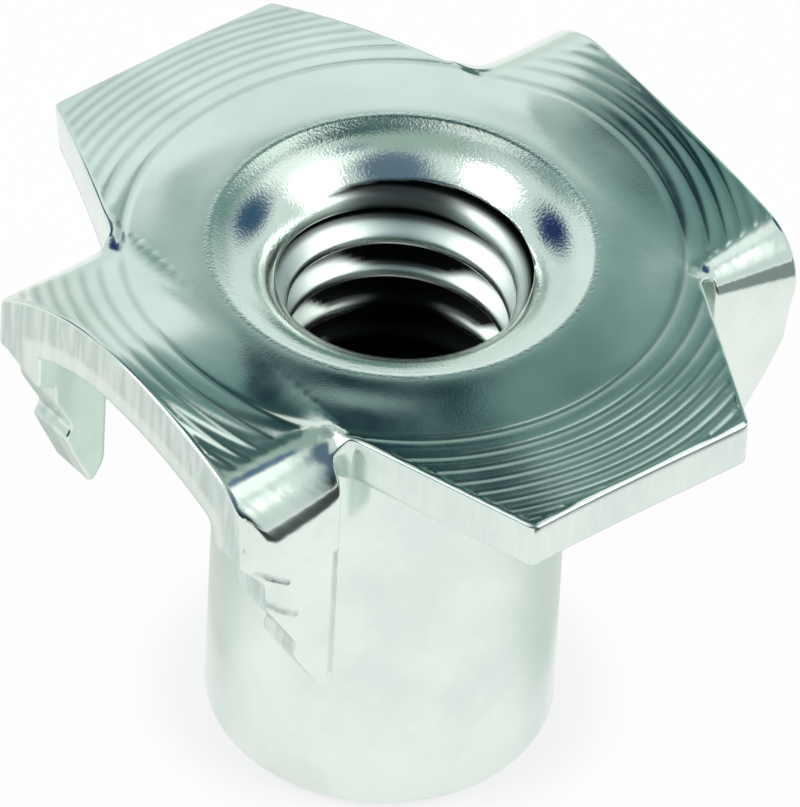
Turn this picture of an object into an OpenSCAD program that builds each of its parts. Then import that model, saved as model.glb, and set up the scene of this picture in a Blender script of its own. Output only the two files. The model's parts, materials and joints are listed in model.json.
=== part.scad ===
// Tee nut, M6, pressed from one piece of sheet steel.
// A deep-drawn threaded barrel carries a flange with two flat lobes (along X)
// and two pronged lobes (along Y).  Each pronged lobe has both of its ends
// sheared free and folded down into a prong.  Z = 0 is the barrel's open end,
// and the flange's upper face is at Z = height.

/* [Barrel and thread] */
// Overall height, from the barrel's end to the flange's upper face
height = 13.7; // [10:0.1:30]
// Outside diameter of the barrel
barrel_d = 8; // [7.6:0.1:9]
// Bore over the crests of the M6 thread
bore_d = 5; // [4.9:0.05:5.4]
// Diameter of the crease where the flange turns into the rounded mouth
mouth_d = 8.3; // [7:0.1:8.4]
// Slope at which the mouth starts inside its crease
mouth_slope = 12; // [2:1:30]
// Radius between the barrel and the flange's lower face
neck_r = 0.7; // [0.2:0.05:1]
// Rounding of the barrel's end, outside
end_r = 0.35; // [0.1:0.05:0.6]
// Lead-in at the barrel's end, inside
end_lead = 0.45; // [0.1:0.05:0.7]

/* [Flange] */
// Thickness of the sheet
sheet_t = 1.2; // [0.8:0.05:1.5]
// Length over the two flat lobes
flange_l = 17.6; // [16:0.1:22]
// Width over the two pronged lobes
flange_w = 15.3; // [14.6:0.1:18]
// Length of the straight outer edge of a flat lobe
lobe_edge = 6; // [4:0.1:7]
// Distance of a notch's root from the middle, along X
notch_x = 4.35; // [4.1:0.05:4.5]
// Distance of a notch's root from the middle, along Y
notch_y = 4.85; // [4.5:0.05:5.1]
// Distance from the middle to which the flange is level, along X
level_x = 4.7; // [4.6:0.05:5.2]
// How far the edge of the flat lobe at -X has sprung down
sag_left = 0.7; // [0.1:0.05:1]
// How far the edge of the flat lobe at +X has sprung down
sag_right = 0.3; // [0.1:0.05:1]

/* [Prongs] */
// Radius to which a pronged lobe is arched across its width
arch_r = 12.5; // [10:0.5:20]
// How far the arch's crest would stand over the flange at the lobe's outer edge
arch_over = 0.2; // [0.05:0.05:0.6]
// Angle at which the arch's crest falls outwards
arch_fall = 6; // [0:1:8]
// Distance over the outer faces of the two prongs of one lobe
prong_span = 9.4; // [9.2:0.1:11]
// Distance of a prong's inner edge from the middle, along Y
prong_in = 5.3; // [5.2:0.05:5.6]
// Depth of the full-length prongs below the flange's upper face
prong_drop = 7; // [6:0.1:9]
// Depth of the prong at +X +Y, which sheared off short
short_drop = 6; // [5.5:0.1:9]
// Depth at which a prong starts to narrow
shoulder_drop = 2.7; // [2.4:0.1:3]
// Step that the shear left at the shoulder
shoulder_step = 0.4; // [0.1:0.05:0.6]
// Height of the torn nib above the tip
nib_up = 1.9; // [1.2:0.1:2.2]
// How far the torn nib stands out of the slanted edge
nib_out = 0.25; // [0.05:0.05:0.4]
// Outer radius of the fold at the lobe's outer edge
fold_r = 2.2; // [1.6:0.1:2.3]
// Distance from the middle at which the fold's radius runs out to nothing
fold_apex = 4.5; // [4:0.1:4.8]

/* [Rings] */
// Number of fine concentric grooves in the flange's upper face
ring_count = 7; // [0:1:8]
// Radius of the innermost groove
ring_first = 6.3; // [5.6:0.1:6.6]
// Step from the innermost groove to the next
ring_step = 0.52; // [0.4:0.02:0.6]
// How the steps shrink outwards: 1 keeps them all equal
ring_close = 0.83; // [0.8:0.01:1]
// Width of a groove
ring_w = 0.14; // [0.08:0.02:0.2]
// Depth of a groove
ring_depth = 0.05; // [0.03:0.01:0.1]

/* [Hidden] */
$fn = 96;

steel = "#c9d8d2";

bore_r = bore_d / 2;
barrel_r = barrel_d / 2;
lobe_x = flange_l / 2;                    // outer edge of a flat lobe
lobe_y = flange_w / 2;                    // outer edge of a pronged lobe
prong_x = prong_span / 2;                 // outer face of a prong
neck_x = min(notch_x, prong_x - 0.3);     // half width of the neck of a pronged lobe
crease_r = mouth_d / 2;                   // where the mouth meets the flat face
mouth_r = (crease_r - bore_r) / (1 - sin(mouth_slope));    // radius of the mouth's section
mouth_h = mouth_r * cos(mouth_slope);     // height of the mouth
disc_r = crease_r + 0.4;                  // disc round the mouth, turned with the barrel
overlap = 0.05;                           // how far the lobes reach into that disc
slack = 1;                                // how far a cutter runs past what it cuts
fold_bite = 4;                            // angle at which a fold's cone leaves a flat face
block = 4 * height;                       // side of a half-space block

function ring_r(i) = ring_first + ring_step * pow(i, ring_close);

// Radius of an arc that leaves a level line and drops by sag over a run w
function sag_r(w, sag) = (w * w + sag * sag) / (2 * sag);

// ---------------------------------------------------------------- barrel

// Square in the corner at the origin with a quarter circle taken out of it:
// what a rounding of radius r removes from (or a fillet adds to) a corner.
module spandrel(r) {
    difference() {
        translate([-r, -r]) square(r + 0.001);
        translate([-r, -r]) circle(r);
    }
}

// What the mouth takes out of the half section: it starts at the crease with a slope
// and rounds over until it runs level with the bore.
module mouth_section() {
    difference() {
        translate([bore_r - slack, height - mouth_h])
            square([crease_r - bore_r + slack, mouth_h + slack]);
        translate([bore_r + mouth_r, height - mouth_h]) circle(mouth_r);
    }
}

// Half section of the barrel with the flat disc round its mouth
module barrel_section() {
    difference() {
        union() {
            translate([bore_r, 0]) square([barrel_r - bore_r, height]);
            translate([bore_r, height - sheet_t]) square([disc_r - bore_r, sheet_t]);
            // fillet below the flange
            translate([barrel_r, height - sheet_t]) rotate(180) spandrel(neck_r);
        }
        mouth_section();
        // end of the barrel, rounded outside and bevelled inside
        translate([barrel_r, 0]) rotate(-90) spandrel(end_r);
        translate([bore_r, 0]) rotate(45) square(end_lead * sqrt(2), center = true);
    }
}

module barrel() {
    rotate_extrude() barrel_section();
}

// ---------------------------------------------------------------- flange

// Section of the sheet along X: level in the middle, arcs down over the flat lobes
module sheet_section(t) {
    translate([-level_x, -t]) square([2 * level_x, t]);
    sag_arc(t, sag_right);
    mirror([1, 0]) sag_arc(t, sag_left);
}

module sag_arc(t, sag) {
    r = sag_r(lobe_x - level_x, sag);
    intersection() {
        translate([level_x, -r]) difference() {
            circle(r, $fn = 360);
            circle(r - t, $fn = 360);
        }
        translate([level_x, -t - sag - slack]) square([lobe_x - level_x, t + sag + slack]);
    }
}

// The sheet as a slab, wide enough for any outline to be cut from it
module sheet_slab(t) {
    translate([0, lobe_y + slack, height]) rotate([90, 0, 0])
        linear_extrude(2 * (lobe_y + slack)) sheet_section(t);
}

// Plan of the flat lobes, out to their straight edges and in to the notches
module flat_plan() {
    half = [[lobe_x, lobe_edge / 2], [notch_x, notch_y], [neck_x, notch_y]];
    polygon(concat(
        half,
        [for (i = [2:-1:0]) [-half[i].x, half[i].y]],
        [for (i = [0:2]) [-half[i].x, -half[i].y]],
        [for (i = [2:-1:0]) [half[i].x, -half[i].y]]));
}

module flat_lobes() {
    intersection() {
        sheet_slab(sheet_t);
        difference() {
            linear_extrude(height + slack) flat_plan();
            cylinder(r = disc_r - overlap, h = height + 2 * slack);
        }
    }
}

// ---------------------------------------------------------------- prongs

// What a fold at +X takes off the square corner: all that lies beyond the plane
// through the fold's two edges, less a cone.  The cone's point is at the origin,
// it grows by k along +Y, and it touches both the level face and the outer face.
module fold_waste(k, run) {
    n = sqrt(1 + k * k);
    half = atan(k / n);
    long = 2 * run * n / cos(half);
    difference() {
        rotate([0, acos(1 / sqrt(2 + k * k)), atan(k)])
            translate([-block, -block, 0]) cube([2 * block, 2 * block, block]);
        rotate([0, acos(-sin(half)), atan2(cos(half) / n, -sin(half))])
            cylinder(h = long, r1 = 0, r2 = long * tan(half) / cos(fold_bite));
    }
}

// Cylinder along Y that arches one layer of a lobe across its width: the upper face
// with top = height, the lower face with top = height - sheet_t
module arch(top) {
    translate([0, lobe_y, height + arch_over - arch_r]) rotate([90 - arch_fall, 0, 0])
        cylinder(r = arch_r - height + top, h = 2 * block, center = true);
}

// Block under a lobe, out to +-x and up to top, arched across, with both upper edges
// rounded by cones whose radius grows from nothing at y0 to r at the lobe's outer edge
module fold_block(x, top, y0, r) {
    k = r / (lobe_y - y0);
    intersection() {
        difference() {
            translate([-x, 0, top - block]) cube([2 * x, block, block]);
            fold_pair(x, top, y0) fold_waste(k, lobe_y - y0 + slack);
        }
        arch(top);
        translate([-block, prong_in, height - prong_drop - slack])
            cube([2 * block, lobe_y - prong_in, prong_drop + 2 * slack]);
    }
}

module fold_pair(x, top, y0) {
    translate([x, y0, top]) children();
    mirror([1, 0, 0]) translate([x, y0, top]) children();
}

// Side view of a prong, Y outwards and Z down from the flange's upper face
module prong_side(drop, step) {
    tip = [prong_in + 0.25, -drop];
    foot = [lobe_y - step, -shoulder_drop - step];
    knee = [foot.x, foot.y - step];
    nib_f = nib_up / (drop + knee.y);
    nib = tip + (knee - tip) * nib_f;
    polygon([
        [prong_in - slack, slack], [prong_in - slack, -sheet_t / 2],
        [prong_in, -sheet_t / 2], [prong_in, -drop + 3 * step], tip,
        nib + [nib_out, 0], nib + [0, nib_out],
        knee, foot, [lobe_y, -shoulder_drop], [lobe_y, slack]]);
}

module prong_half(drop, step) {
    translate([0, 0, height]) rotate([90, 0, 90])
        linear_extrude(prong_x + slack) prong_side(drop, step);
}

// One pronged lobe, at +Y; its prongs at +X and -X have depths of their own
module pronged_lobe(drop_right, drop_left) {
    intersection() {
        difference() {
            fold_block(prong_x, height, fold_apex, fold_r);
            fold_block(prong_x - sheet_t, height - sheet_t, prong_in - 0.1, fold_r - sheet_t);
        }
        union() {
            prong_half(drop_right, shoulder_step);
            mirror([1, 0, 0]) prong_half(drop_left, shoulder_step);
        }
    }
    // neck between the notches
    translate([-neck_x, notch_y - slack / 2, height - sheet_t])
        cube([2 * neck_x, prong_in - notch_y + slack / 2, sheet_t]);
}

// ---------------------------------------------------------------- rings

// Fine grooves, concentric with the bore, that follow the sheet's upper face
module rings() {
    intersection() {
        for (i = [0:1:ring_count - 1])
            rotate_extrude() translate([ring_r(i) - ring_w / 2, height - sheet_t])
                square([ring_w, sheet_t + slack]);
        difference() {
            translate([0, 0, slack]) sheet_slab(sheet_t + slack);
            translate([0, 0, -ring_depth]) sheet_slab(sheet_t + slack);
        }
    }
}

module tee_nut() {
    color(steel) difference() {
        union() {
            barrel();
            flat_lobes();
            pronged_lobe(short_drop, prong_drop);
            mirror([0, 1, 0]) pronged_lobe(prong_drop, prong_drop);
        }
        rings();
    }
}

tee_nut();
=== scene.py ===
"""Looks of the tee nut: one pressed sheet-steel piece with an M6 thread, bright zinc plated.

The CAD solid is replaced by one closed mesh that has the arched and folded sheet, the rolled
rings, the sheared edges and the real thread.  The shape's lengths are in millimetres up to
make_object(), which writes metres, and the studio's are in metres.  Z = 0 is the barrel's open
end, as in the CAD model.
"""
import json
import math

import bmesh
import bpy
import numpy as np
from mathutils import Matrix, Vector
from mathutils.geometry import delaunay_2d_cdt


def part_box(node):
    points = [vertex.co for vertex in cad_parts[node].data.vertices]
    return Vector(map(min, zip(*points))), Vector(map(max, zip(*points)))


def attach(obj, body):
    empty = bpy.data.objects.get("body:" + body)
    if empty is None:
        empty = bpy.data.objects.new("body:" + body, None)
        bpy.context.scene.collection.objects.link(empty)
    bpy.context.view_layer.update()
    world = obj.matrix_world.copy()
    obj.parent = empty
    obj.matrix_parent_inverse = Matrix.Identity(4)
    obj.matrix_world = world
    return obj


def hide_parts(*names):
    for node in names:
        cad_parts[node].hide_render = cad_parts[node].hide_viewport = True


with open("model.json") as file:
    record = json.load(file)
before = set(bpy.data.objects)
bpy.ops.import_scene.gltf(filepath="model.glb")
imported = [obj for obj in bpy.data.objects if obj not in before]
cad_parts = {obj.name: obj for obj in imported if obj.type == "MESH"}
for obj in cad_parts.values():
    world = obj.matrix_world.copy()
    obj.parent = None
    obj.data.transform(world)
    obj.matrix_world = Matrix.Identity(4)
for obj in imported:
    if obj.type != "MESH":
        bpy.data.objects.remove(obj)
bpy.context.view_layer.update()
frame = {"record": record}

MM = 0.001
TINY = 1e-3              # a length that stands for next to nothing
NODE = "tee_nut"
PI = math.pi

# ---------------- sizes from the frame

_, high_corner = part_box(NODE)
mounts = {m["name"]: m for m in frame["record"]["mounts"]}
HEIGHT = round(high_corner.z / MM, 3)          # upper face of the flange
LOBE_X = round(high_corner.x / MM, 3)          # straight outer edge of a flat lobe
LOBE_Y = round(high_corner.y / MM, 3)          # outer edge of a pronged lobe
BORE_R = mounts["thread"]["dims"]["r_mm"]      # crests of the thread
BARREL_R = mounts["barrel"]["dims"]["r_mm"]
SHEET_T = HEIGHT - mounts["seat"]["pos_m"][2] / MM

# ---------------- sizes of the pressed form

RIM_R = 4.46             # the flange rolls over into the mouth from here
CREASE_R = 4.15          # the mouth starts with a crease of this radius and slope
CREASE_TILT = math.radians(12)
MOUTH_R = (CREASE_R - BORE_R) / (1 - math.sin(CREASE_TILT))   # radius of the mouth's section
BEAD = 0.008             # height of the fine bead round the crease
NECK_R = 0.7             # fillet between barrel and flange
NECK_TOP_R = BARREL_R + NECK_R
END_R = 0.35             # rounding of the barrel's end
END_LEAD = 0.5           # bevel inside the barrel's end
END_FLAT = 0.05          # width of the level rows on both sides of the end face

LEVEL_X = 4.7            # the flat lobes bend down from here on
ARCH_PAST = 0.3          # how far past LEVEL_X the arch still lowers them
SAG = {-1: 0.4, 1: 0.04}           # how far the flat lobes at -X and +X have sprung down
LOBE_GAIN = {-1: 0.08, 1: 0.0}     # length that they have gained in pressing
# Y of their corners, by the signs of X and Y
LOBE_CORNER_Y = {(1, 1): 3.0, (-1, 1): 3.0, (-1, -1): 3.12, (1, -1): 3.0}

ARCH_START = 4.75        # a pronged lobe starts to arch at this distance from the middle
ARCH_RISE = 0.38         # height of the arch's crest over the flange
ARCH_GROWTH = 1.5        # power by which the crest rises towards the lobe's outer edge
ARCH_CENTRE = {-1: -0.5, 1: -2.4}  # the crest's X at the -Y and the +Y edge
LEAST_CURVE = 1e-4       # the arch's curvature where it starts, in place of 0
PRONG_X = 4.7            # outer face of a prong
# By the signs of X and Y: the arch's radius at the lobe's outer edge, the fold's radius at the
# prong's inner edge and at the outer edge, and the power by which it changes between them (below
# 1, it changes most beside the inner edge).
ARCH_R = {(1, 1): 45.0, (-1, 1): 12.5, (-1, -1): 7.3, (1, -1): 12.5}
FOLD_IN = {(1, 1): 0.65, (-1, 1): 1.3, (-1, -1): 1.5, (1, -1): 1.2}
FOLD_OUT = {(1, 1): 1.25, (-1, 1): 2.0, (-1, -1): 0.3, (1, -1): 1.9}
FOLD_GROWTH = {(1, 1): 1.0, (-1, 1): 1.0, (-1, -1): 2.2, (1, -1): 0.4}
FOLD_IN_Y = 5.15         # Y of a prong's inner edge, for the fold's radius
FOLD_MIN = 0.08          # smallest inner radius of a fold
LEG_BLEND = 2.5          # length over which a prong's inner face evens out below its fold
NECK_Y = 5.02            # between the notches and the prongs

CONE = 0.06              # slope of the flange, which is slightly domed
CONE_EASE = 0.15         # length over which the slope sets in
BURR = 0.2               # how much the pronged lobes thicken towards their cut edge, as a share
BURR_FROM_Y = 6.0        # they thicken from this distance from the middle on
ROLL_FROM = 0.3          # share of the front fold after which its cut edge is rolled over
ROLL_WIDTH = 0.85        # width of the roll-over at the foot of the fold
ROLL_DEPTH = 0.35        # how far the edge is drawn down there

# Unevenness of the sheet, as waves: (radians per mm in X, and in Y, phase in radians, height)
WAVES = [
    (0.9, 0.5, 0.3, 0.010),
    (-0.6, 1.1, 1.9, 0.008),
    (1.7, -0.9, 4.0, 0.004),
    (0.4, 2.1, 2.6, 0.003),
]
WAVE_EASE = 1.0          # length over which the waves set in, outside the neck

# Notch roots (X, Y) and prong outlines, as distances from the middle and, below a fold, heights
# under the flange's upper face: inner edge, then (Y, Z) from the tip to the shoulder.
NOTCH = {(1, 1): (4.6, 4.88), (-1, 1): (4.42, 4.7), (-1, -1): (4.2, 5.0), (1, -1): (4.35, 4.72)}
NECK_FROM = {corner: y for corner, (x, y) in NOTCH.items()}   # here the folds set in
PRONG_IN = {(1, 1): 5.3, (-1, 1): 5.65, (-1, -1): 5.45, (1, -1): 5.15}
TIP_TAPER = 0.5          # the inner edge turns in to the tip at this height over it
FULL_PRONG = [(5.85, -6.95), (6.66, -5.12), (6.46, -4.85), (7.05, -3.7), (7.1, -3.06),
              (7.48, -2.7), (LOBE_Y, -2.5)]
FRONT_PRONG = [(5.36, -7.2), (6.3, -5.6), (6.2, -5.3), (7.0, -3.95), (7.05, -3.2),
               (7.45, -2.75), (LOBE_Y, -2.55)]
SHORT_PRONG = [(5.55, -6.2), (6.5, -4.6), (6.98, -3.9), (7.4, -3.15), (7.52, -2.3),
               (LOBE_Y, -1.8)]
PRONG = {(1, 1): SHORT_PRONG, (-1, 1): FULL_PRONG, (-1, -1): FULL_PRONG, (1, -1): FRONT_PRONG}

# Roundings of the blank's corners: open ones, the prongs' steps, and their tips
ROUND_OPEN = 0.16
ROUND_STEP = 0.14
ROUND_TIP = 0.25

# Scars on the outer face of the front prong, each as (Y, Z) of its two ends, and their section.
# The last one, along the prong's inner edge, is a painted shadow line: a shallow groove, darkened
# like cut steel, that stands in for the shade between the prong and the barrel.
SCARS_AND_SHADOW_LINE = [((-7.3, -2.75), (-6.55, -3.2)), ((-7.05, -3.75), (-6.3, -4.3)),
         ((-5.25, -3.0), (-5.25, -6.6))]
SCAR_W = 0.24
SCAR_DEPTH = 0.03
SCAR_REACH = 0.6         # only what is this near to the outer face is scarred

RING_COUNT = 8
RING_FIRST = 6.3         # radius of the first ring
RING_STEP = 0.52
RING_CLOSE = 0.83        # the steps shrink outwards
RING_W = 0.27            # width and depth of a ring's groove
RING_DEPTH = 0.0115
RING_ON_FOLD = 0.06      # share of the depth that is left where the sheet is folded
RING_FADE = (-0.2, 0.5)  # start of that loss, from the fold's start, and length over which it grows

PITCH = 1.0
THREAD_DEPTH = 0.5
CREST_HALF = 0.1         # half the width of the thread's crest, in pitches
FLANK = 0.36             # width of a flank, in pitches
FLANK_EASE = 0.15        # share by which a flank is curved
ROOT_R = BORE_R + THREAD_DEPTH
THREAD_TURN = 0.86       # where the helix starts, in turns
RUN_IN = 1.1             # length over which the crests grow to their full height at the top
RUN_IN_START = 0.15      # share of that height that they have at the very top
TAP_EDGE = 0.05          # width of the step between cut and uncut wall, for the tags

# ---------------- marks that the material shows, and painted shade

DULL_SHEARED = 1.0       # dullness of the pronged lobes' cut edges, down to TORN_FROM
DULL_TORN = 0.35         # and below it
DULL_OPEN = 0.2          # dullness of all other cut edges
# the scars' dullness, which also darkens the painted shadow line
DULL_SCAR_AND_SHADOW = 1.3
DULL_FROM = 0.05         # depth at which a cut edge starts
TORN_FROM = 0.8          # depth under which it is torn, not sheared

# Black mixed into the colour as painted shade: in the rings' grooves, and in the bore's thread
# roots, on its first crest and deep down, most on the wall away from the camera.
RING_SHADE = 0.24         # painted shade in the rings' grooves
SHADE_TURN = 0.39         # turn of the most painted shade, on the side away from the camera
SHADE_SLANT = 10          # how much deeper the painted shade starts on the other side
# Depths under the thread's top, each with the length over which the change takes place
FIRST_END = (1.15, 0.3)  # end of the painted shade on the first crest
FLANK_SHADE = (1.2, 1.0)  # from here on the painted shade in the roots spreads over the flanks
CREST_SHADE = (2.1, 1.1)  # and from here on over the crests
FIRST_BLACK = 0.9        # how black the painted shade on the first crest is
FIRST_SIDE = (0.12, 0.11)      # how far round it is, with 1 on the other side, and its soft end
UNSHADED_HIGH = 0.5         # share of a flank, from the crest, without painted shade high up
UNSHADED_LOSS = 0.48        # how much smaller that share is deep down
FLANK_BLEND = (0.25, 0.3)      # width of its soft end: the least, and the growth with the share

# ---------------- fineness of the mesh

TURN_STEPS = 180         # facets round the axis
EDGE_STEP = 0.1          # spacing of the points along the blank's outline
CORNER_STEPS = 6         # points on a rounded corner
CORNER_SHARE = 0.45      # largest share of a side that one rounding may take
ROOM_SHARE = 0.6         # share of the local radius by which a row may move inwards
ROOM_REACH = 4           # neighbours on each side that limit a point in this
WELD_DIGITS = 5          # points that agree to this many decimals are one
RIM_SHARES = np.arange(0.1, 0.95, 0.1)      # rows between the flange and the crease
MOUTH_STEPS = 22         # rows of the mouth's arc, of the barrel's end, its wall and its neck
END_STEPS = 8
WALL_STEPS = 16
NECK_STEPS = 9
THREAD_PHASES = np.arange(0, 1, 1 / 16)     # rows of one pitch

# Circles of points in the upper face, between the mouth and the rings and outside them
INNER_RADII = [4.56, 4.67, 4.8, 4.95, 5.1, 5.25, 5.4, 5.55, 5.7, 5.85, 5.98, 6.08]
OUTER_RADII = [9.15, 9.25]
LEAST_GAP = 0.04         # between two circles, and from them to the scars' grid
GRID_FROM = 9.3          # a square grid of points starts at this radius
GRID_S = (3, 13)         # and covers this range of s and of y in each quarter
GRID_Y = (5, LOBE_Y)
UPPER_STEP = 0.12        # its spacing, and the least distance from the outline
UPPER_GAP = 0.05
LOWER_STEP = 0.16        # the same in the lower face
LOWER_GAP = 0.07
LOWER_RADII = np.arange(4.85, GRID_FROM, LOWER_STEP)
SCAR_STEP = 0.05         # spacing of the finer grid over the scars
SCAR_GRID_Y = -6.0       # its upper and lower end are at these heights, measured at this Y
SCAR_GRID_Z = (-2.5, -6.5)

# (distance in from the outline, depth) of the edge's rows, from the upper to the lower face
EDGE_ROWS = [(0.14, 0.0), (0.07, 0.0), (0.035, 0.01), (0.012, 0.03), (0.0, 0.07)]
EDGE_ROWS += [(0.0, depth) for depth in (0.25, 0.4, 0.55, 0.7, 0.85, 1.0)]
EDGE_ROWS += [(0.0, SHEET_T - 0.07), (0.02, SHEET_T - 0.025), (0.06, SHEET_T), (0.13, SHEET_T)]


def ramp(x):
    """0 to 1 with level ends, as x goes from 0 to 1."""
    x = np.clip(x, 0, 1)
    return x * x * (3 - 2 * x)


def circle(r):
    """Points (X, Y) on a circle round the axis."""
    angles = 2 * PI * np.arange(TURN_STEPS) / TURN_STEPS
    return np.stack([r * np.cos(angles), r * np.sin(angles)], 1)


def ring_row(r, z):
    """The same circle's points in space, at height z."""
    return np.column_stack([circle(r), np.full(TURN_STEPS, z)])


# ---------------- the bent sheet

def by_corner(table, side, y):
    """The table's value for the corner that each point belongs to."""
    plus_y = np.where(side > 0, table[1, 1], table[-1, 1])
    minus_y = np.where(side > 0, table[1, -1], table[-1, -1])
    return np.where(y > 0, plus_y, minus_y)


def fold_radius(side, y):
    """Outer radius of the folds at distance y from the middle."""
    share = np.clip((np.abs(y) - FOLD_IN_Y) / (LOBE_Y - FOLD_IN_Y), 0, 1)
    inner, outer = by_corner(FOLD_IN, side, y), by_corner(FOLD_OUT, side, y)
    return inner + (outer - inner) * share ** by_corner(FOLD_GROWTH, side, y)


class Lobe:
    """Section of a pronged lobe at y: an arch, then a fold, then the prong's straight leg.  s is
    the arc length across the lobe, and every attribute holds one value for each point."""

    def __init__(self, s, y):
        grow = np.clip((np.abs(y) - ARCH_START) / (LOBE_Y - ARCH_START), 0, 1)
        self.centre = np.where(y > 0, ARCH_CENTRE[1], ARCH_CENTRE[-1]) * grow
        self.side = np.where(s >= self.centre, 1.0, -1.0)
        self.run = np.abs(s - self.centre)
        self.half = PRONG_X - self.side * self.centre
        self.rise = ARCH_RISE * grow ** ARCH_GROWTH
        self.radius = 1 / np.maximum(grow / by_corner(ARCH_R, self.side, y), LEAST_CURVE)
        self.bend = fold_radius(self.side, y)
        angle = self.lean(0)
        self.arch_run = self.radius * angle
        self.fold_run = self.bend * (PI / 2 - angle)

    def bend_at(self, depth):
        """Radius of the fold for the layer at this depth."""
        return np.maximum(self.bend - depth, FOLD_MIN)

    def lean(self, depth):
        """Slope at which the arch turns into the fold, for the layer at this depth."""
        bend = self.bend_at(depth)
        return np.arcsin((self.half - depth - bend) / (self.radius - depth - bend))

    def leg_top(self, depth):
        """Height at which the leg starts."""
        bend = self.bend_at(depth)
        reach = self.radius - depth - bend
        return self.rise - self.radius + reach * np.cos(self.lean(depth))

    def point(self, depth):
        """X and height of the layer at this depth."""
        bend, lean = self.bend_at(depth), self.lean(depth)
        arch_r = self.radius - depth
        arch = lean * np.clip(self.run / self.arch_run, 0, 1)
        fold = lean + (PI / 2 - lean) * np.clip((self.run - self.arch_run) / self.fold_run, 0, 1)
        leg = np.maximum(self.run - self.arch_run - self.fold_run, 0)
        in_arch = self.run < self.arch_run
        reach = arch_r - bend
        x = np.where(in_arch, arch_r * np.sin(arch), reach * np.sin(lean) + bend * np.sin(fold))
        drop = np.where(in_arch, arch_r * np.cos(arch), reach * np.cos(lean) + bend * np.cos(fold))
        gap = self.leg_top(0) - self.leg_top(depth)
        z = self.rise - self.radius + drop - leg
        z = z + np.where(leg > 0, gap * (1 - np.maximum(0, 1 - leg / LEG_BLEND)), 0)
        return self.centre + self.side * x, z


def doming(r):
    """How far the slightly domed flange lies under its middle at this radius."""
    past = np.maximum(r - RIM_R, 0)
    return CONE * past ** 2 / (past + CONE_EASE)


def leg_s(side, y, z):
    """Arc length at which the outer face of a prong is at height z under the flange."""
    lobe = Lobe(np.array(float(side * LOBE_X)), np.array(float(y)))
    z = z + doming(math.hypot(PRONG_X, y))
    return float(lobe.centre + side * (lobe.arch_run + lobe.fold_run + lobe.leg_top(0) - z))


def lobe_bend(side):
    """Radius at which a flat lobe bends down, and the arc length at which it ends."""
    sag, width = SAG[side], LOBE_X - LEVEL_X
    radius = (width ** 2 + sag ** 2) / (2 * sag)
    return radius, LEVEL_X + radius * math.asin(width / radius)


def flat_lobe(s, y, depth):
    """X and height of the layer at this depth, on the middle of the flange and the flat lobes."""
    lobe = Lobe(s, y)
    side, u = np.sign(s), np.abs(s)
    radius = np.where(side > 0, lobe_bend(1)[0], lobe_bend(-1)[0])
    angle = np.maximum(u - LEVEL_X, 0) / radius
    x = np.minimum(u, LEVEL_X) + (radius - depth) * np.sin(angle)
    z = lobe.rise - np.minimum(u, LEVEL_X + ARCH_PAST) ** 2 / (2 * lobe.radius)
    return side * x, z - radius + (radius - depth) * np.cos(angle)


def waviness(x, y):
    """Slight unevenness that the press leaves in the sheet."""
    total = sum(height * np.sin(kx * x + ky * y + start) for kx, ky, start, height in WAVES)
    return total * ramp((np.hypot(x, y) - NECK_TOP_R) / WAVE_EASE)


def rolled_over(s, y):
    """How far the upper face is drawn down beside the cut at the front fold."""
    lobe = Lobe(s, y)
    turned = np.clip((lobe.run - lobe.arch_run) / lobe.fold_run - ROLL_FROM, 0, 1)
    width = np.maximum(ROLL_WIDTH * turned / (1 - ROLL_FROM), TINY)
    share = ramp(1 - (LOBE_Y - np.abs(y)) / width)
    return ROLL_DEPTH * share * ramp(2 * turned) * ((s > 0) & (y < -NECK_Y))


def sheet(s, y, depth=0.0):
    """Points (n, 3) of the bent sheet: s is the arc length across it, y the distance along the
    folds, and depth the distance under the upper face."""
    s, y = np.asarray(s, float), np.asarray(y, float)
    x_flat, z_flat = flat_lobe(s, y, depth)
    neck, prong = by_corner(NECK_FROM, s, y), by_corner(PRONG_IN, s, y)
    folded = ramp((np.abs(y) - neck) / (prong - neck))
    depth = depth * (1 + BURR * ramp((np.abs(y) - BURR_FROM_Y) / (LOBE_Y - BURR_FROM_Y)))
    depth = depth + rolled_over(s, y) * np.maximum(0, 1 - depth / SHEET_T)
    x_fold, z_fold = Lobe(s, y).point(depth)
    x = x_flat + (x_fold - x_flat) * folded
    z = z_flat + (z_fold - z_flat) * folded
    z = z - doming(np.hypot(x, y)) + waviness(x, y)
    return np.stack([x, y, HEIGHT + z], -1)


def sheet_normal(s, y):
    """Unit normals of the upper face, from its slopes over a very short length."""
    along = sheet(s + TINY, y) - sheet(s - TINY, y)
    across = sheet(s, y + TINY) - sheet(s, y - TINY)
    normal = np.cross(along, across)
    return normal / np.linalg.norm(normal, axis=-1, keepdims=True)


# ---------------- rings and marks

RINGS = [RING_FIRST + RING_STEP * i ** RING_CLOSE for i in range(RING_COUNT)]


def ring_depth(s, y):
    """0 on the lands, 1 at the bottom of a rolled ring."""
    rho = np.hypot(s, y)
    groove = np.zeros_like(rho)
    for radius in RINGS:
        groove = np.maximum(groove, ramp(1 - np.abs(rho - radius) / (RING_W / 2)))
    lobe = Lobe(s, y)
    start, length = RING_FADE
    on_fold = ramp((lobe.run - lobe.arch_run - start) / length) * (np.abs(y) > NECK_Y)
    return groove * (1 - (1 - RING_ON_FOLD) * on_fold)


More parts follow.
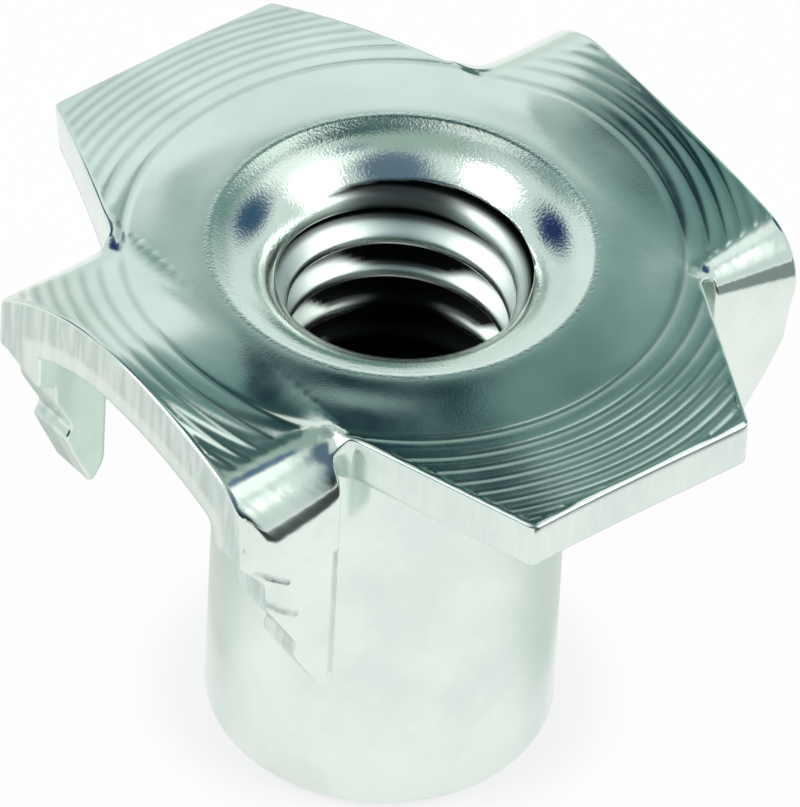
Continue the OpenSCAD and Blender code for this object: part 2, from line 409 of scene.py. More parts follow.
def scar_and_shadow_depth(points):
    """0 on whole metal, 1 at the bottom of a scar and of the painted shadow line."""
    depth = np.zeros(len(points))
    for ends in SCARS_AND_SHADOW_LINE:
        start, end = np.array(ends)
        offset = points[:, 1:] - (start[0], start[1] + HEIGHT)
        run = end - start
        along = np.clip(offset @ run / (run @ run), 0, 1)
        gap = np.linalg.norm(offset - along[:, None] * run, axis=1)
        depth = np.maximum(depth, ramp(1 - gap / (SCAR_W / 2)))
    return depth * ((points[:, 0] > PRONG_X - SCAR_REACH) & (points[:, 1] < -NECK_Y))


def upper_face(s, y):
    """Points of the upper face with its rings, scars and painted shadow line, and how deep the
    scars and that line are there.
    """
    points = sheet(s, y)
    scar_and_shadow = scar_and_shadow_depth(points)
    drop = RING_DEPTH * ring_depth(s, y) + SCAR_DEPTH * scar_and_shadow
    return points - sheet_normal(s, y) * drop[:, None], scar_and_shadow


def scar_points():
    """Grid (s, y) over the part of the front prong that has the scars and the painted shadow line.
    """
    y = np.arange(-LOBE_Y, -PRONG_IN[1, -1], SCAR_STEP)
    top, low = (leg_s(1, SCAR_GRID_Y, z) for z in SCAR_GRID_Z)
    s, y = np.meshgrid(np.arange(top, low, SCAR_STEP), y, indexing="ij")
    return np.stack([s.ravel(), y.ravel()], 1)


# ---------------- outline of the blank

def quadrant(sx, sy):
    """Corners (s, y, rounding) from a flat lobe's corner to the middle of the next lobe's edge."""
    notch_x, notch_y = NOTCH[sx, sy]
    inner = PRONG_IN[sx, sy]
    lobe_end = lobe_bend(sx)[1] + LOBE_GAIN[sx]
    corners = [(sx * lobe_end, sy * LOBE_CORNER_Y[sx, sy], ROUND_OPEN)]
    corners.append((sx * notch_x, sy * notch_y, ROUND_OPEN))
    corners.append((sx * notch_x, sy * inner, ROUND_STEP))
    tip_y, tip_z = PRONG[sx, sy][0]
    corners.append((leg_s(sx, sy * inner, tip_z + TIP_TAPER), sy * inner, ROUND_TIP))
    for y, z in PRONG[sx, sy]:
        corners.append((leg_s(sx, sy * y, z), sy * y, ROUND_TIP if y == tip_y else ROUND_STEP))
    return corners


def outline_corners():
    """The blank's corners, anticlockwise."""
    loop = []
    for sx, sy in ((1, 1), (-1, 1), (-1, -1), (1, -1)):
        part = quadrant(sx, sy)
        loop += part if sx * sy > 0 else part[::-1]
    return loop


def towards(start, goal, length):
    """The point at this distance from start, on the line to goal."""
    return start + (goal - start) / np.linalg.norm(goal - start) * length


def rounded(corners):
    """Closed line of points through the corners, each rounded off, with straight runs between."""
    count = len(corners)
    places = [np.array(corner[:2], float) for corner in corners]
    cuts = []
    for i in range(count):
        here, before, after = places[i], places[i - 1], places[(i + 1) % count]
        shortest = min(np.linalg.norm(here - before), np.linalg.norm(after - here))
        cuts.append(min(corners[i][2], CORNER_SHARE * shortest))
    points = []
    for i in range(count):
        here, before, after = places[i], places[i - 1], places[(i + 1) % count]
        start = towards(here, before, cuts[i])
        end = towards(here, after, cuts[i])
        for t in np.linspace(0, 1, CORNER_STEPS):
            points.append((1 - t) ** 2 * start + 2 * t * (1 - t) * here + t * t * end)
        stop = towards(after, here, cuts[(i + 1) % count])
        pieces = max(1, round(np.linalg.norm(stop - end) / EDGE_STEP))
        for k in range(1, pieces):
            points.append(end + (stop - end) * k / pieces)
    return np.array(points)


def outward(loop):
    """Unit normals that point out of a loop that runs anticlockwise."""
    t = np.roll(loop, -1, 0) - np.roll(loop, 1, 0)
    t /= np.linalg.norm(t, axis=1, keepdims=True)
    return np.stack([t[:, 1], -t[:, 0]], 1)


def room_inside(loop, normal):
    """How far each point of a loop may move inwards before a convex corner folds over: a share of
    the local radius, at its smallest over the neighbours and then evened out."""
    step = np.linalg.norm(np.roll(loop, -1, 0) - np.roll(loop, 1, 0), axis=1)
    turn = np.linalg.norm(np.roll(normal, -1, 0) - np.roll(normal, 1, 0), axis=1)
    room = ROOM_SHARE * step / np.maximum(turn, 1e-6)
    room = np.min([np.roll(room, k) for k in range(-ROOM_REACH, ROOM_REACH + 1)], 0)
    return np.mean([np.roll(room, k) for k in range(1 - ROOM_REACH, ROOM_REACH)], 0)


def inside(points, loop):
    """Which points lie inside a closed loop."""
    hits = np.zeros(len(points), bool)
    ax, ay = loop[:, 0], loop[:, 1]
    bx, by = np.roll(ax, -1), np.roll(ay, -1)
    for x0, y0, x1, y1 in zip(ax, ay, bx, by):
        if y0 == y1:
            continue
        spans = (points[:, 1] >= min(y0, y1)) & (points[:, 1] < max(y0, y1))
        hits ^= spans & (points[:, 0] < x0 + (points[:, 1] - y0) * (x1 - x0) / (y1 - y0))
    return hits


def clearance(points, loop):
    """Distance from each point to the nearest point of the loop."""
    nearest = np.full(len(points), np.inf)
    for p in loop:
        nearest = np.minimum(nearest, (points[:, 0] - p[0]) ** 2 + (points[:, 1] - p[1]) ** 2)
    return np.sqrt(nearest)


def triangulate(outer, hole_r, filling):
    """Triangles over the region between a circle and the outer loop, through the filling points.
    Gives the points, with the circle's first and the loop's next, and the triangles."""
    hole = circle(hole_r)
    points = np.vstack([hole, outer, filling])
    n, m = len(hole), len(outer)
    edges = [(i, (i + 1) % n) for i in range(n)] + [(n + i, n + (i + 1) % m) for i in range(m)]
    inside_edges, tolerance = 1, 1e-7
    places = [Vector(p) for p in points.tolist()]
    made = delaunay_2d_cdt(places, edges, [], inside_edges, tolerance)
    source = np.array([ids[0] for ids in made[3]])
    faces = source[np.array(made[2])]
    centres = points[faces].mean(1)
    outside = np.hypot(centres[:, 0], centres[:, 1]) > hole_r * math.cos(PI / TURN_STEPS)
    return points, faces[outside]


def polar_points(radii, steps):
    """Points on circles, halfway between the spokes."""
    turns = 2 * PI * (np.arange(steps) + 0.5) / steps
    r, a = np.meshgrid(radii, turns, indexing="ij")
    return np.stack([(r * np.cos(a)).ravel(), (r * np.sin(a)).ravel()], 1)


def leg_points(step):
    """Square grid over the prongs, outside the rings."""
    s, y = np.meshgrid(np.arange(*GRID_S, step), np.arange(*GRID_Y, step), indexing="ij")
    quarter = np.stack([s.ravel(), y.ravel()], 1)
    quarter = quarter[np.hypot(quarter[:, 0], quarter[:, 1]) > GRID_FROM]
    return np.vstack([quarter * (sx, sy) for sx in (1, -1) for sy in (1, -1)])


def keep_inside(points, loop, gap):
    """Those of the points that lie inside the loop and at least the gap away from it."""
    points = points[inside(points, loop)]
    return points[clearance(points, loop) > gap]


# ---------------- the shell

# What the material shows, as shares: cut faces, the mouth's grain, painted shade, the thread
TAGS = ("cut", "mouth", "bore", "thread")


class Shell:
    """Vertices, triangles and per-vertex tags of the one closed mesh."""

    def __init__(self):
        self.points, self.tags, self.faces, self.count = [], [], [], 0

    def add(self, points, cut=0.0, mouth=0.0, bore=0.0, thread=0.0):
        """Takes in points with their tags, and gives the first one's index."""
        first = self.count
        self.points.append(points)
        tags = np.zeros((len(points), len(TAGS)))
        for column, value in enumerate((cut, mouth, bore, thread)):
            tags[:, column] = value
        self.tags.append(tags)
        self.count += len(points)
        return first

    def band(self, upper, lower, count):
        """Joins two closed rows of count points that start at these indices."""
        i = np.arange(count)
        self.strip(upper, lower, i, (i + 1) % count)

    def strip(self, upper, lower, i, j):
        """Triangles between two rows, from the columns i to the columns j."""
        self.faces.append(np.stack([upper + i, lower + i, lower + j], 1))
        self.faces.append(np.stack([upper + i, lower + j, upper + j], 1))

    def rows(self, profile, **tags):
        """Joins the circles of a profile of (radius, height), and gives the last one's index."""
        first = [self.add(ring_row(r, z), **tags) for r, z in profile]
        for upper, lower in zip(first, first[1:]):
            self.band(upper, lower, TURN_STEPS)
        return first[-1]

    def welded(self):
        """Points, triangles and tags after points at the same place are made one."""
        points = np.vstack(self.points)
        keys = np.round(points, WELD_DIGITS)
        _, first, back = np.unique(keys, axis=0, return_index=True, return_inverse=True)
        a, b, c = back.ravel()[np.vstack(self.faces)].T
        whole = (a != b) & (b != c) & (a != c)
        return points[first], np.stack([a, b, c], 1)[whole], np.vstack(self.tags)[first]


def thin_out(values, gap):
    """The values, less those that follow another one too closely."""
    kept = [values[0]]
    for value in values[1:]:
        if value - kept[-1] > gap:
            kept.append(value)
    return kept


def upper_filling():
    """Points for the inside of the upper face: circles, finer over the rings, then a square grid
    on the prongs, finer over the scars and the painted shadow line."""
    radii = INNER_RADII + OUTER_RADII
    for ring in RINGS:
        radii += [ring + RING_W * share for share in (-1 / 2, -1 / 4, 0, 1 / 4, 1 / 2)]
    legs = leg_points(UPPER_STEP)
    scars = scar_points()
    legs = legs[clearance(legs, scars) > UPPER_STEP / 2]
    circles = polar_points(thin_out(sorted(radii), LEAST_GAP), 2 * TURN_STEPS)
    filling = np.vstack([circles, legs])
    filling = filling[clearance(filling, scars) > LEAST_GAP]
    return np.vstack([filling, scars])


def add_upper_face(shell, loop):
    """The face with rings, scars and the painted shadow line, and the painted shade in the rings;
    gives the index of the loop's first point.
    """
    flat, faces = triangulate(loop, RIM_R, keep_inside(upper_filling(), loop, UPPER_GAP))
    points, scar_and_shadow = upper_face(flat[:, 0], flat[:, 1])
    points[:TURN_STEPS] = ring_row(RIM_R, HEIGHT)
    # painted shade in the rings' grooves
    painted_shade = RING_SHADE * ring_depth(flat[:, 0], flat[:, 1])
    base = shell.add(points, cut=DULL_SCAR_AND_SHADOW * scar_and_shadow, bore=painted_shade)
    shell.faces.append(faces + base)
    return base + TURN_STEPS


def edge_dullness(row, depth):
    """The cut tag for a row of the edge at this depth."""
    if not DULL_FROM < depth < SHEET_T:
        return DULL_SCAR_AND_SHADOW * scar_and_shadow_depth(row)
    pronged = DULL_SHEARED if depth < TORN_FROM else DULL_TORN
    return np.where(np.abs(row[:, 1]) > NECK_Y, pronged, DULL_OPEN)


def add_lower_face(shell, loop):
    """The plain face, from the neck's fillet to the loop."""
    filling = np.vstack([polar_points(LOWER_RADII, TURN_STEPS), leg_points(LOWER_STEP)])
    flat, faces = triangulate(loop, NECK_TOP_R, keep_inside(filling, loop, LOWER_GAP))
    points = sheet(flat[:, 0], flat[:, 1], SHEET_T)
    points[:TURN_STEPS] = ring_row(NECK_TOP_R, HEIGHT - SHEET_T)
    base = shell.add(points)
    shell.faces.append(faces[:, ::-1] + base)


def add_flange(shell):
    """Upper face, sheared edge and lower face of the flange and its prongs."""
    outline = rounded(outline_corners())
    normal = outward(outline)
    room = room_inside(outline, normal)
    widest = EDGE_ROWS[0][0]
    loops = []
    for inset, _ in EDGE_ROWS:
        moved = np.minimum(inset, room * inset / widest)
        loops.append(outline - normal * moved[:, None])

    upper = add_upper_face(shell, loops[0])
    for (_, depth), loop in zip(EDGE_ROWS[1:], loops[1:]):
        row = sheet(loop[:, 0], loop[:, 1], depth)
        lower = shell.add(row, cut=edge_dullness(row, depth))
        shell.band(upper, lower, len(loop))
        upper = lower
    add_lower_face(shell, loops[-1])


CREASE_Z = HEIGHT - 0.5 * (RIM_R - CREASE_R) * math.tan(CREASE_TILT)


def mouth_point(tilt):
    """Radius and height on the mouth's arc where its slope has this angle."""
    r = CREASE_R - MOUTH_R * (math.sin(tilt) - math.sin(CREASE_TILT))
    return r, CREASE_Z - MOUTH_R * (math.cos(CREASE_TILT) - math.cos(tilt))


def mouth_rows():
    """(radius, height) rows from the flange over the crease and down the arc to the thread."""
    rows = [(RIM_R, HEIGHT)]
    for t in RIM_SHARES:
        bead = BEAD * math.sin(PI * t) ** 2
        rows.append((RIM_R + (CREASE_R - RIM_R) * t, HEIGHT + (CREASE_Z - HEIGHT) * t * t + bead))
    thread_tilt = math.asin((CREASE_R - ROOT_R) / MOUTH_R + math.sin(CREASE_TILT))
    tilts = np.linspace(CREASE_TILT, thread_tilt, MOUTH_STEPS)
    return rows + [mouth_point(tilt) for tilt in tilts]


MOUTH_ROWS = mouth_rows()
THREAD_TOP = MOUTH_ROWS[-1][1]       # the tap's grooves break out of the mouth here


def mouth_radius(z):
    """Radius of the mouth's arc at a height, and of the plain bore below it."""
    up = np.clip(z - mouth_point(PI / 2)[1], 0, MOUTH_R)
    return BORE_R + MOUTH_R - np.sqrt(MOUTH_R ** 2 - up ** 2)


def thread_radius(turn, z):
    """Radius of the thread's face at an angle (in turns) and a height."""
    phase = (z / PITCH - turn + THREAD_TURN + 0.5) % 1.0
    flank = np.clip((CREST_HALF + FLANK - np.abs(phase - 0.5)) / FLANK, 0, 1)
    curved = (1 - FLANK_EASE) * flank + FLANK_EASE * ramp(flank)
    grown = np.clip((THREAD_TOP - z) / RUN_IN + RUN_IN_START, 0, 1)
    return ROOT_R - THREAD_DEPTH * curved * grown


def bore_radius(turn, z):
    """Radius of the bore with its mouth, lead-in and thread."""
    plain = np.maximum(mouth_radius(z), BORE_R + np.maximum(END_LEAD - z, 0))
    return np.maximum(plain, thread_radius(turn, z))


def tapped(turn, z):
    """1 where the tap has cut, 0 on what is left of the mouth's arc."""
    return ramp((thread_radius(turn, z) - mouth_radius(z)) / TAP_EDGE + 0.5)


def painted_bore_shade(turn, z):
    """Painted shade in the bore, as a share of black: in the thread's roots and, on the wall away
    from the camera, also on the first crest and, deep down, all over."""
    cut = tapped(turn, z)
    root = (thread_radius(turn, z) - BORE_R) / THREAD_DEPTH * cut
    depth = THREAD_TOP - z
    aside = 0.5 - 0.5 * np.cos(2 * PI * (turn - SHADE_TURN))
    first = FIRST_BLACK * ramp((FIRST_END[0] - depth) / FIRST_END[1])
    first = first * ramp((FIRST_SIDE[0] - aside) / FIRST_SIDE[1]) * cut
    spread = ramp((depth - FLANK_SHADE[0] - SHADE_SLANT * aside) / FLANK_SHADE[1])
    unshaded = UNSHADED_HIGH - UNSHADED_LOSS * spread
    flanks = ramp((root - unshaded) / (FLANK_BLEND[0] + FLANK_BLEND[1] * unshaded))
    crests = ramp((depth - CREST_SHADE[0] - SHADE_SLANT * aside) / CREST_SHADE[1])
    return np.maximum.reduce([first, flanks, crests])


def thread_rows():
    """Points, painted shade and tapped share of the thread's rows, from the top down.  The rows
    follow the helix and are cut off level at both ends."""
    column = np.arange(TURN_STEPS + 1)
    turn = column / TURN_STEPS
    angle = 2 * PI * (column % TURN_STEPS) / TURN_STEPS
    turns = range(-2, math.ceil(THREAD_TOP / PITCH) + 2)
    rows = []
    for start in [k + phase for k in turns for phase in THREAD_PHASES]:
        z = np.clip(PITCH * (start - THREAD_TURN + turn), 0, THREAD_TOP)
        r = bore_radius(turn, z)
        r = np.where(z == 0, BORE_R + END_LEAD, r)
        r = np.where(z == THREAD_TOP, ROOT_R, r)
        points = np.column_stack([r * np.cos(angle), r * np.sin(angle), z])
        rows.append((points, painted_bore_shade(turn, z), tapped(turn, z)))
    return rows[::-1]


def wall_profile():
    """(radius, height) points round the barrel's end, up its wall and through the neck."""
    lead_r = BORE_R + END_LEAD
    wall_top = HEIGHT - SHEET_T - NECK_R
    profile = [(lead_r, 0.0), (lead_r + END_FLAT, 0.0), (BARREL_R - END_R - END_FLAT, 0.0)]
    for a in np.linspace(0, PI / 2, END_STEPS):
        profile.append((BARREL_R - END_R + END_R * math.sin(a), END_R - END_R * math.cos(a)))
    profile += [(BARREL_R, z) for z in np.linspace(END_R, wall_top, WALL_STEPS)[1:-1]]
    for a in np.linspace(0, PI / 2, NECK_STEPS):
        profile.append((NECK_TOP_R - NECK_R * math.cos(a), wall_top + NECK_R * math.sin(a)))
    return profile


def add_barrel(shell):
    """Mouth, thread, barrel's end, outer wall and neck."""
    mouth_end = shell.rows(MOUTH_ROWS, mouth=1.0)
    top = ring_row(ROOT_R, THREAD_TOP)
    upper = shell.add(np.vstack([top, top[:1]]), mouth=1.0)
    shell.band(mouth_end, upper, TURN_STEPS)
    i = np.arange(TURN_STEPS)
    for points, painted_shade, cut in thread_rows():
        lower = shell.add(points, mouth=1 - cut, bore=painted_shade, thread=cut)
        shell.strip(upper, lower, i, i + 1)
        upper = lower
    shell.rows(wall_profile())


def make_object():
    """The closed mesh in metres, with a float attribute for each tag and normals outwards."""
    shell = Shell()
    add_flange(shell)
    add_barrel(shell)
    points, faces, tags = shell.welded()
    mesh = bpy.data.meshes.new("pressed_tee_nut")
    mesh.from_pydata((points * MM).tolist(), [], faces.tolist())
    for column, name in enumerate(TAGS):
        layer = mesh.attributes.new(name, "FLOAT", "POINT")
        layer.data.foreach_set("value", tags[:, column].astype(np.float32))
    work = bmesh.new()
    work.from_mesh(mesh)
    bmesh.ops.recalc_face_normals(work, faces=work.faces)
    work.to_mesh(mesh)
    work.free()
    mesh.polygons.foreach_set("use_smooth", [True] * len(mesh.polygons))
    piece = bpy.data.objects.new("pressed_tee_nut", mesh)
    bpy.context.scene.collection.objects.link(piece)
    return piece


# ---------------- materials

class Nodes:
    """Short calls for building a node tree."""

    def __init__(self, tree):
        self.tree = tree
        tree.nodes.clear()

    def add(self, kind, **settings):
        node = self.tree.nodes.new(kind)
        for name, value in settings.items():
            setattr(node, name, value)
        return node

    def link(self, source, target):
        self.tree.links.new(source, target)

    def feed(self, socket, value):
        if isinstance(value, bpy.types.NodeSocket):
            self.link(value, socket)
        else:
            socket.default_value = value

    def math(self, operation, a, b=0.0, c=0.0):
        node = self.add("ShaderNodeMath", operation=operation)
        for socket, value in zip(node.inputs, (a, b, c)):
            self.feed(socket, value)
        return node.outputs[0]

    def remap(self, value, low, high, to_low=0.0, to_high=1.0):
        node = self.add("ShaderNodeMapRange", interpolation_type="SMOOTHSTEP")
        for socket, v in zip(node.inputs, (value, low, high, to_low, to_high)):
            self.feed(socket, v)
        return node.outputs[0]

    def mix(self, factor, a, b):
        node = self.add("ShaderNodeMix", data_type="RGBA")
        self.feed(node.inputs[0], factor)
        self.feed(node.inputs[6], a)
        self.feed(node.inputs[7], b)
        return node.outputs[2]

    def noise(self, where, scale, detail=3.0, roughness=0.55):
        node = self.add("ShaderNodeTexNoise")
        self.link(where, node.inputs["Vector"])
        node.inputs["Scale"].default_value = scale
        node.inputs["Detail"].default_value = detail
        node.inputs["Roughness"].default_value = roughness
        return node.outputs["Fac"]

    def attribute(self, name):
        return self.add("ShaderNodeAttribute", attribute_name=name).outputs["Fac"]

    def dot(self, where, vector):
        node = self.add("ShaderNodeVectorMath", operation="DOT_PRODUCT")
        self.link(where, node.inputs[0])
        node.inputs[1].default_value = vector
        return node.outputs["Value"]


# Colours of the zinc: its two tones, warmer clouds, cut steel and the painted shade's black
ZINC_PALE = (0.82, 0.90, 0.845, 1)
ZINC_DEEP = (0.71, 0.80, 0.75, 1)
ZINC_WARM = (0.82, 0.85, 0.74, 1)
CUT_STEEL = (0.36, 0.46, 0.42, 1)
SHADE_BLACK = (0.005, 0.006, 0.006, 1)
WHITE = (1, 1, 1, 1)
BLACK = (0, 0, 0, 1)

# Noises: waves per metre, and the values between which each one takes effect
GRAIN_SCALE = 15000
TONE_SCALE = 420
TONE_RANGE = (0.3, 0.7)
CLOUD_SCALE = 160
CLOUD_RANGE = (0.45, 0.75)
CLOUD_SHARE = 0.25
SCRATCH_SCALE = 5000
SCRATCH_STRETCH = (1, 1, 0.12)     # the scratches on cut faces run along Z
SCRATCH_RANGE = (0.35, 0.65)
SCRATCH_SHARE = (0.2, 0.55)        # least and most of the cut steel's colour

ROUGHNESS = (0.09, 0.15)           # of the two tones
CUT_ROUGHNESS = 0.2                # added on cut faces
THREAD_ROUGHNESS = 0.3             # added on the thread
BUMP_DISTANCE = 0.00002
BUMP_PLAIN = 0.025                 # strength of the bump on plain faces
BUMP_MOUTH = 0.23                  # added in the mouth, where the sheet was stretched
BUMP_TONE = 0.8                    # height of the tones' noise against the grain's


def zinc_colour(n, place, tones):
    """The colour, and the share of black that is mixed into it as painted shade."""
    cloud = n.noise(place, CLOUD_SCALE, detail=2)
    colour = n.mix(n.remap(tones, *TONE_RANGE), ZINC_DEEP, ZINC_PALE)
    warm = n.math("MULTIPLY", n.remap(cloud, *CLOUD_RANGE), CLOUD_SHARE)
    colour = n.mix(warm, colour, ZINC_WARM)
    # the tag bore holds the painted shade of the bore and of the rings' grooves
    painted_shade = n.attribute("bore")
    stretched = n.add("ShaderNodeVectorMath", operation="MULTIPLY")
    n.link(place, stretched.inputs[0])
    stretched.inputs[1].default_value = SCRATCH_STRETCH
    scratches = n.noise(stretched.outputs[0], SCRATCH_SCALE)
    scratches = n.remap(scratches, *SCRATCH_RANGE, *SCRATCH_SHARE)
    colour = n.mix(n.math("MULTIPLY", n.attribute("cut"), scratches), colour, CUT_STEEL)
    return n.mix(painted_shade, colour, SHADE_BLACK), painted_shade


def zinc_plate():
    """Bright zinc plate, which follows the mesh's tags."""
    material = bpy.data.materials.new("zinc_plate")
    material.use_nodes = True
    n = Nodes(material.node_tree)
    place = n.add("ShaderNodeTexCoord").outputs["Object"]
    grain = n.noise(place, GRAIN_SCALE, detail=2)
    tones = n.noise(place, TONE_SCALE, detail=4)
    colour, painted_shade = zinc_colour(n, place, tones)

    rough = n.remap(tones, *TONE_RANGE, *ROUGHNESS)
    rough = n.math("ADD", rough, n.math("MULTIPLY", n.attribute("cut"), CUT_ROUGHNESS))
    rough = n.math("ADD", rough, n.math("MULTIPLY", n.attribute("thread"), THREAD_ROUGHNESS))

    bump = n.add("ShaderNodeBump")
    strength = n.math("MULTIPLY_ADD", n.attribute("mouth"), BUMP_MOUTH, BUMP_PLAIN)
    n.link(strength, bump.inputs["Strength"])
    bump.inputs["Distance"].default_value = BUMP_DISTANCE
    n.link(n.math("ADD", grain, n.math("MULTIPLY", tones, BUMP_TONE)), bump.inputs["Height"])

    shader = n.add("ShaderNodeBsdfPrincipled")
    shader.inputs["Metallic"].default_value = 1.0
    # the painted shade blackens the reflection too
    n.link(n.mix(painted_shade, WHITE, BLACK), shader.inputs["Specular Tint"])
    n.link(colour, shader.inputs["Base Color"])
    n.link(rough, shader.inputs["Roughness"])
    n.link(bump.outputs["Normal"], shader.inputs["Normal"])
    out = n.add("ShaderNodeOutputMaterial")
    n.link(shader.outputs[0], out.inputs["Surface"])
    return material


# ---------------- studio

# The photograph's view: the camera's direction from the flange's middle, its roll, its focal
# length in pixels, the scale at the flange and the flange's middle in the picture.
VIEW_AZIMUTH = math.radians(50.8)
VIEW_ELEVATION = math.radians(42.7)
VIEW_ROLL = math.radians(3.06)
FOCAL_PX = 16000.0
PX_PER_MM = 44.8
PICTURE = (800, 807)
FLANGE_AT = (402.3, 244.3)
SENSOR_MM = 36.0

# Level unit vectors, towards the camera and to the picture's right, and the one that points up
NEAR = np.array([math.sin(VIEW_AZIMUTH), -math.cos(VIEW_AZIMUTH), 0])
RIGHT = np.array([math.cos(VIEW_AZIMUTH), math.sin(VIEW_AZIMUTH), 0])
UP = np.array([0, 0, 1.0])


def make_camera():
    """The photograph's camera, which also becomes the scene's."""
    back = NEAR * math.cos(VIEW_ELEVATION) + UP * math.sin(VIEW_ELEVATION)
    level_up = np.cross(back, RIGHT)
    right = math.cos(VIEW_ROLL) * RIGHT + math.sin(VIEW_ROLL) * level_up
    up = -math.sin(VIEW_ROLL) * RIGHT + math.cos(VIEW_ROLL) * level_up
    off_x = (PICTURE[0] / 2 - FLANGE_AT[0]) / PX_PER_MM
    off_y = (FLANGE_AT[1] - PICTURE[1] / 2) / PX_PER_MM
    spot = UP * HEIGHT + back * FOCAL_PX / PX_PER_MM + right * off_x + up * off_y
    data = bpy.data.cameras.new("camera")
    data.sensor_width = SENSOR_MM
    data.lens = FOCAL_PX / max(PICTURE) * SENSOR_MM
    data.clip_start = 0.01
    data.clip_end = 20
    camera = bpy.data.objects.new("camera", data)
    turn = Matrix([[right[i], up[i], back[i]] for i in range(3)]).to_4x4()
    camera.matrix_world = Matrix.Translation(Vector(spot * MM)) @ turn
    bpy.context.scene.collection.objects.link(camera)
    bpy.context.scene.camera = camera


def direction(turn, lift):
    """Unit vector: turn is the angle from straight away from the camera, to the right, and lift
    the angle above the table, both in degrees."""
    t, e = math.radians(turn), math.radians(lift)
    level = -NEAR * math.cos(t) + RIGHT * math.sin(t)
    return level * math.cos(e) + UP * math.sin(e)


def cos_of(degrees):
    return math.cos(math.radians(degrees))


def sin_of(degrees):
    return math.sin(math.radians(degrees))


FLOOR_HALF = 0.6
FLOOR_DROP = 0.00002               # it lies this far under the part's lowest face
FLOOR_GLOW = 0.95                  # share of its light that doesn't depend on the lamps
GLOW_UNDER = 0.75                  # how much of that is left at the barrel's foot
GLOW_FULL_R = 1.5                  # it is full from here on, in radii of the barrel
PAPER = ((0.84, 0.84, 0.84, 1), (0.88, 0.88, 0.88, 1))     # the two tones of its grain
PAPER_SCALE = 700
# Cards on the table that only mirrored rays see: (turn, outer and inner half angle, distances
# over which the card starts, distances from its end back to where it is full, colour)
FLOOR_CARDS = [
    (0, 122, 80, (0.004, 0.006), (0.018, 0.012), (0.72, 0.77, 0.73)),
    (110, 36, 20, (0.024, 0.030), (0.25, 0.10), (0.24, 0.28, 0.28)),
    (146, 27, 14, (0.024, 0.030), (0.25, 0.10), (0.01, 0.015, 0.015)),
]


def card_tint(n, place, distance, glossy):
    """Colour of the table's light with the cards on it."""
    tint = WHITE
    for turn, edge, core, start, end, paint in FLOOR_CARDS:
        across = n.math("DIVIDE", n.dot(place, direction(turn, 0)), distance)
        sides = n.remap(across, cos_of(edge), cos_of(core))
        along = n.math("MULTIPLY", n.remap(distance, *start), n.remap(distance, *end))
        card = n.math("MULTIPLY", n.math("MULTIPLY", sides, along), glossy)
        tint = n.mix(card, tint, (*paint, 1))
    return tint


def white_table():
    """White paper that glows evenly for the camera and for mirrored rays."""
    material = bpy.data.materials.new("white_table")
    material.use_nodes = True
    n = Nodes(material.node_tree)
    path = n.add("ShaderNodeLightPath")
    glossy = path.outputs["Is Glossy Ray"]
    seen = n.math("MAXIMUM", path.outputs["Is Camera Ray"], glossy)
    place = n.add("ShaderNodeTexCoord").outputs["Object"]
    length = n.add("ShaderNodeVectorMath", operation="LENGTH")
    n.link(place, length.inputs[0])
    distance = length.outputs["Value"]
    foot = BARREL_R * MM
    open_table = n.remap(distance, foot, GLOW_FULL_R * foot, GLOW_UNDER, 1.0)
    shade = n.math("MULTIPLY", n.math("MULTIPLY", seen, open_table), FLOOR_GLOW)
    grain = n.noise(place, PAPER_SCALE)
    paper = n.add("ShaderNodeBsdfDiffuse")
    n.link(n.mix(grain, *PAPER), paper.inputs["Color"])
    glow = n.add("ShaderNodeEmission")
    n.link(card_tint(n, place, distance, glossy), glow.inputs["Color"])
    mixed = n.add("ShaderNodeMixShader")
    n.link(shade, mixed.inputs[0])
    n.link(paper.outputs[0], mixed.inputs[1])
    n.link(glow.outputs[0], mixed.inputs[2])
    out = n.add("ShaderNodeOutputMaterial")
    n.link(mixed.outputs[0], out.inputs["Surface"])
    return material


def make_floor():
    mesh = bpy.data.meshes.new("floor")
    half = FLOOR_HALF
    corners = [(-half, -half, 0), (half, -half, 0), (half, half, 0), (-half, half, 0)]
    mesh.from_pydata(corners, [], [(0, 1, 2, 3)])
    mesh.materials.append(white_table())
    floor = bpy.data.objects.new("floor", mesh)
    floor.location.z = -FLOOR_DROP
    bpy.context.scene.collection.objects.link(floor)


# Radiance of the room.  Far behind the part, where the flange mirrors it, it darkens along a
# slanted line from low left to high right.  SLANT_UP and SLANT_RIGHT give that line's direction
# across the mirrored line of sight, and the next two where on it the colours change.
FAR_LOW = (0.84, 0.93, 0.92, 1)
FAR_MID = (0.27, 0.39, 0.38, 1)
FAR_HIGH = (0.15, 0.262, 0.258, 1)
SLANT_UP = 0.86
SLANT_RIGHT = 0.5
LOW_TO_MID = (-0.095, 0.01)
MID_TO_HIGH = (0.0, 0.11)
FAR_DISC = (0, 47, 18, 34)         # turn, lift, radius of the even core and outer radius
AROUND = (0.74, 0.82, 0.80, 1)     # beside that part of the room
ZENITH = (0.34, 0.45, 0.41, 1)
ZENITH_LIFTS = (66, 80)
NEAR_LOW = (0.012, 0.018, 0.02, 1)
NEAR_HIGH = (0.10, 0.16, 0.22, 1)
NEAR_LIFTS = (5, 30)
NEAR_SIDE = (0.5, 0.8)             # cosines to the camera's side between which it sets in
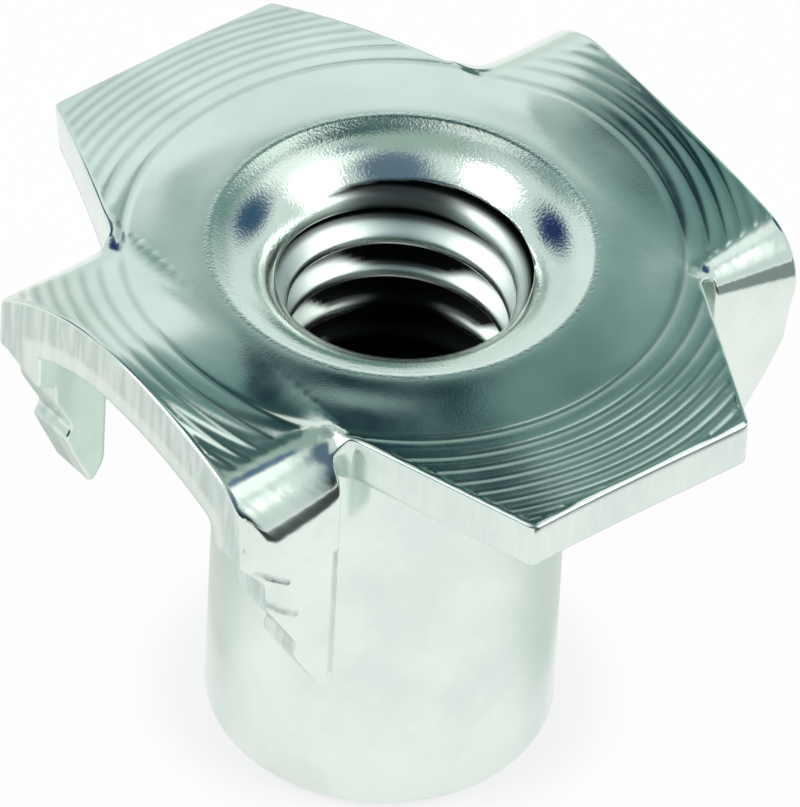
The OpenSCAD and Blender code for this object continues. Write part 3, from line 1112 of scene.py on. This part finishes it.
# Lamps, windows and dark gaps: (turn, lift, radius of the even core and outer radius, in degrees,
# colour)
PATCHES = [
    (-19, 64, 4.5, 8, (0.95, 1.0, 0.98)),
    (24, 58, 4, 9, (1.1, 1.2, 1.16)),
    (-4, 41, 2, 4.5, (0.40, 0.50, 0.48)),
    (-2, 58, 4, 8.5, (0.02, 0.06, 0.065)),
    (-1.5, 49.5, 2.5, 4.5, (0.0, 0.02, 0.035)),
    (22, 71, 5, 12, (0.05, 0.11, 0.12)),
    (66, 56, 8, 16, (1.0, 1.06, 1.04)),
    (98, 57, 9, 17, (1.2, 1.28, 1.25)),
    (107, 27, 8, 18, (1.15, 1.2, 1.17)),
    (19, 34, 3, 7, (0.42, 0.53, 0.51)),
    (6, 5, 6, 12, (0.10, 0.20, 0.18)),
    (50, 31, 9, 17, (0.035, 0.09, 0.17)),
    (-52, 31, 8, 16, (0.015, 0.035, 0.13)),
    (168, 53, 14, 25, (0.12, 0.18, 0.25)),
    (99, 71, 2.5, 6, (0.05, 0.13, 0.25)),
]


def make_world():
    """The studio as the metal mirrors it: pale low, dark high, with patches of other brightness."""
    world = bpy.data.worlds.new("studio")
    world.use_nodes = True
    n = Nodes(world.node_tree)
    way = n.add("ShaderNodeTexCoord").outputs["Generated"]
    split = n.add("ShaderNodeSeparateXYZ")
    n.link(way, split.inputs[0])

    def lifts(low, high):
        """0 below the first height above the table, 1 over the second one."""
        return n.remap(split.outputs["Z"], sin_of(low), sin_of(high))

    def disc(turn, lift, core, edge):
        """1 in the core of a round part of the room, 0 outside it."""
        return n.remap(n.dot(way, direction(turn, lift)), cos_of(edge), cos_of(core))

    across_sight = NEAR * math.sin(VIEW_ELEVATION) + UP * math.cos(VIEW_ELEVATION)
    slant = n.dot(way, SLANT_UP * across_sight + SLANT_RIGHT * RIGHT)
    far = n.mix(n.remap(slant, *LOW_TO_MID), FAR_LOW, FAR_MID)
    far = n.mix(n.remap(slant, *MID_TO_HIGH), far, FAR_HIGH)
    near = n.mix(lifts(*NEAR_LIFTS), NEAR_LOW, NEAR_HIGH)
    colour = n.mix(disc(*FAR_DISC), AROUND, far)
    colour = n.mix(n.remap(n.dot(way, NEAR), *NEAR_SIDE), colour, near)
    colour = n.mix(lifts(*ZENITH_LIFTS), colour, ZENITH)
    for turn, lift, core, edge, paint in PATCHES:
        colour = n.mix(disc(turn, lift, core, edge), colour, (*paint, 1))
    background = n.add("ShaderNodeBackground")
    n.link(colour, background.inputs["Color"])
    out = n.add("ShaderNodeOutputWorld")
    n.link(background.outputs[0], out.inputs["Surface"])
    bpy.context.scene.world = world


LAMP_DISTANCE = 0.5                # from the middle of the flange's upper face


def make_lamp(name, turn, lift, roll, size, watts):
    """A soft box that faces the part; roll turns it in its own plane, in degrees."""
    data = bpy.data.lights.new(name, "AREA")
    data.shape = "ELLIPSE"
    data.size, data.size_y = size
    data.energy = watts
    lamp = bpy.data.objects.new(name, data)
    away = Vector(direction(turn, lift))
    lamp.location = away * LAMP_DISTANCE + Vector((0, 0, HEIGHT * MM))
    lamp.rotation_mode = "QUATERNION"
    own_turn = Matrix.Rotation(math.radians(roll), 3, "Z").to_quaternion()
    lamp.rotation_quaternion = away.to_track_quat("Z", "Y") @ own_turn
    bpy.context.scene.collection.objects.link(lamp)


nut = make_object()
nut.data.materials.append(zinc_plate())
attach(nut, "root")
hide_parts(NODE)

make_floor()
make_world()
make_lamp("softbox_right", turn=104, lift=37, roll=-35, size=(0.24, 0.38), watts=0.85)
make_lamp("softbox_left", turn=-106, lift=43, roll=25, size=(0.26, 0.42), watts=0.95)
make_camera()
bpy.context.scene.view_settings.view_transform = "Standard"
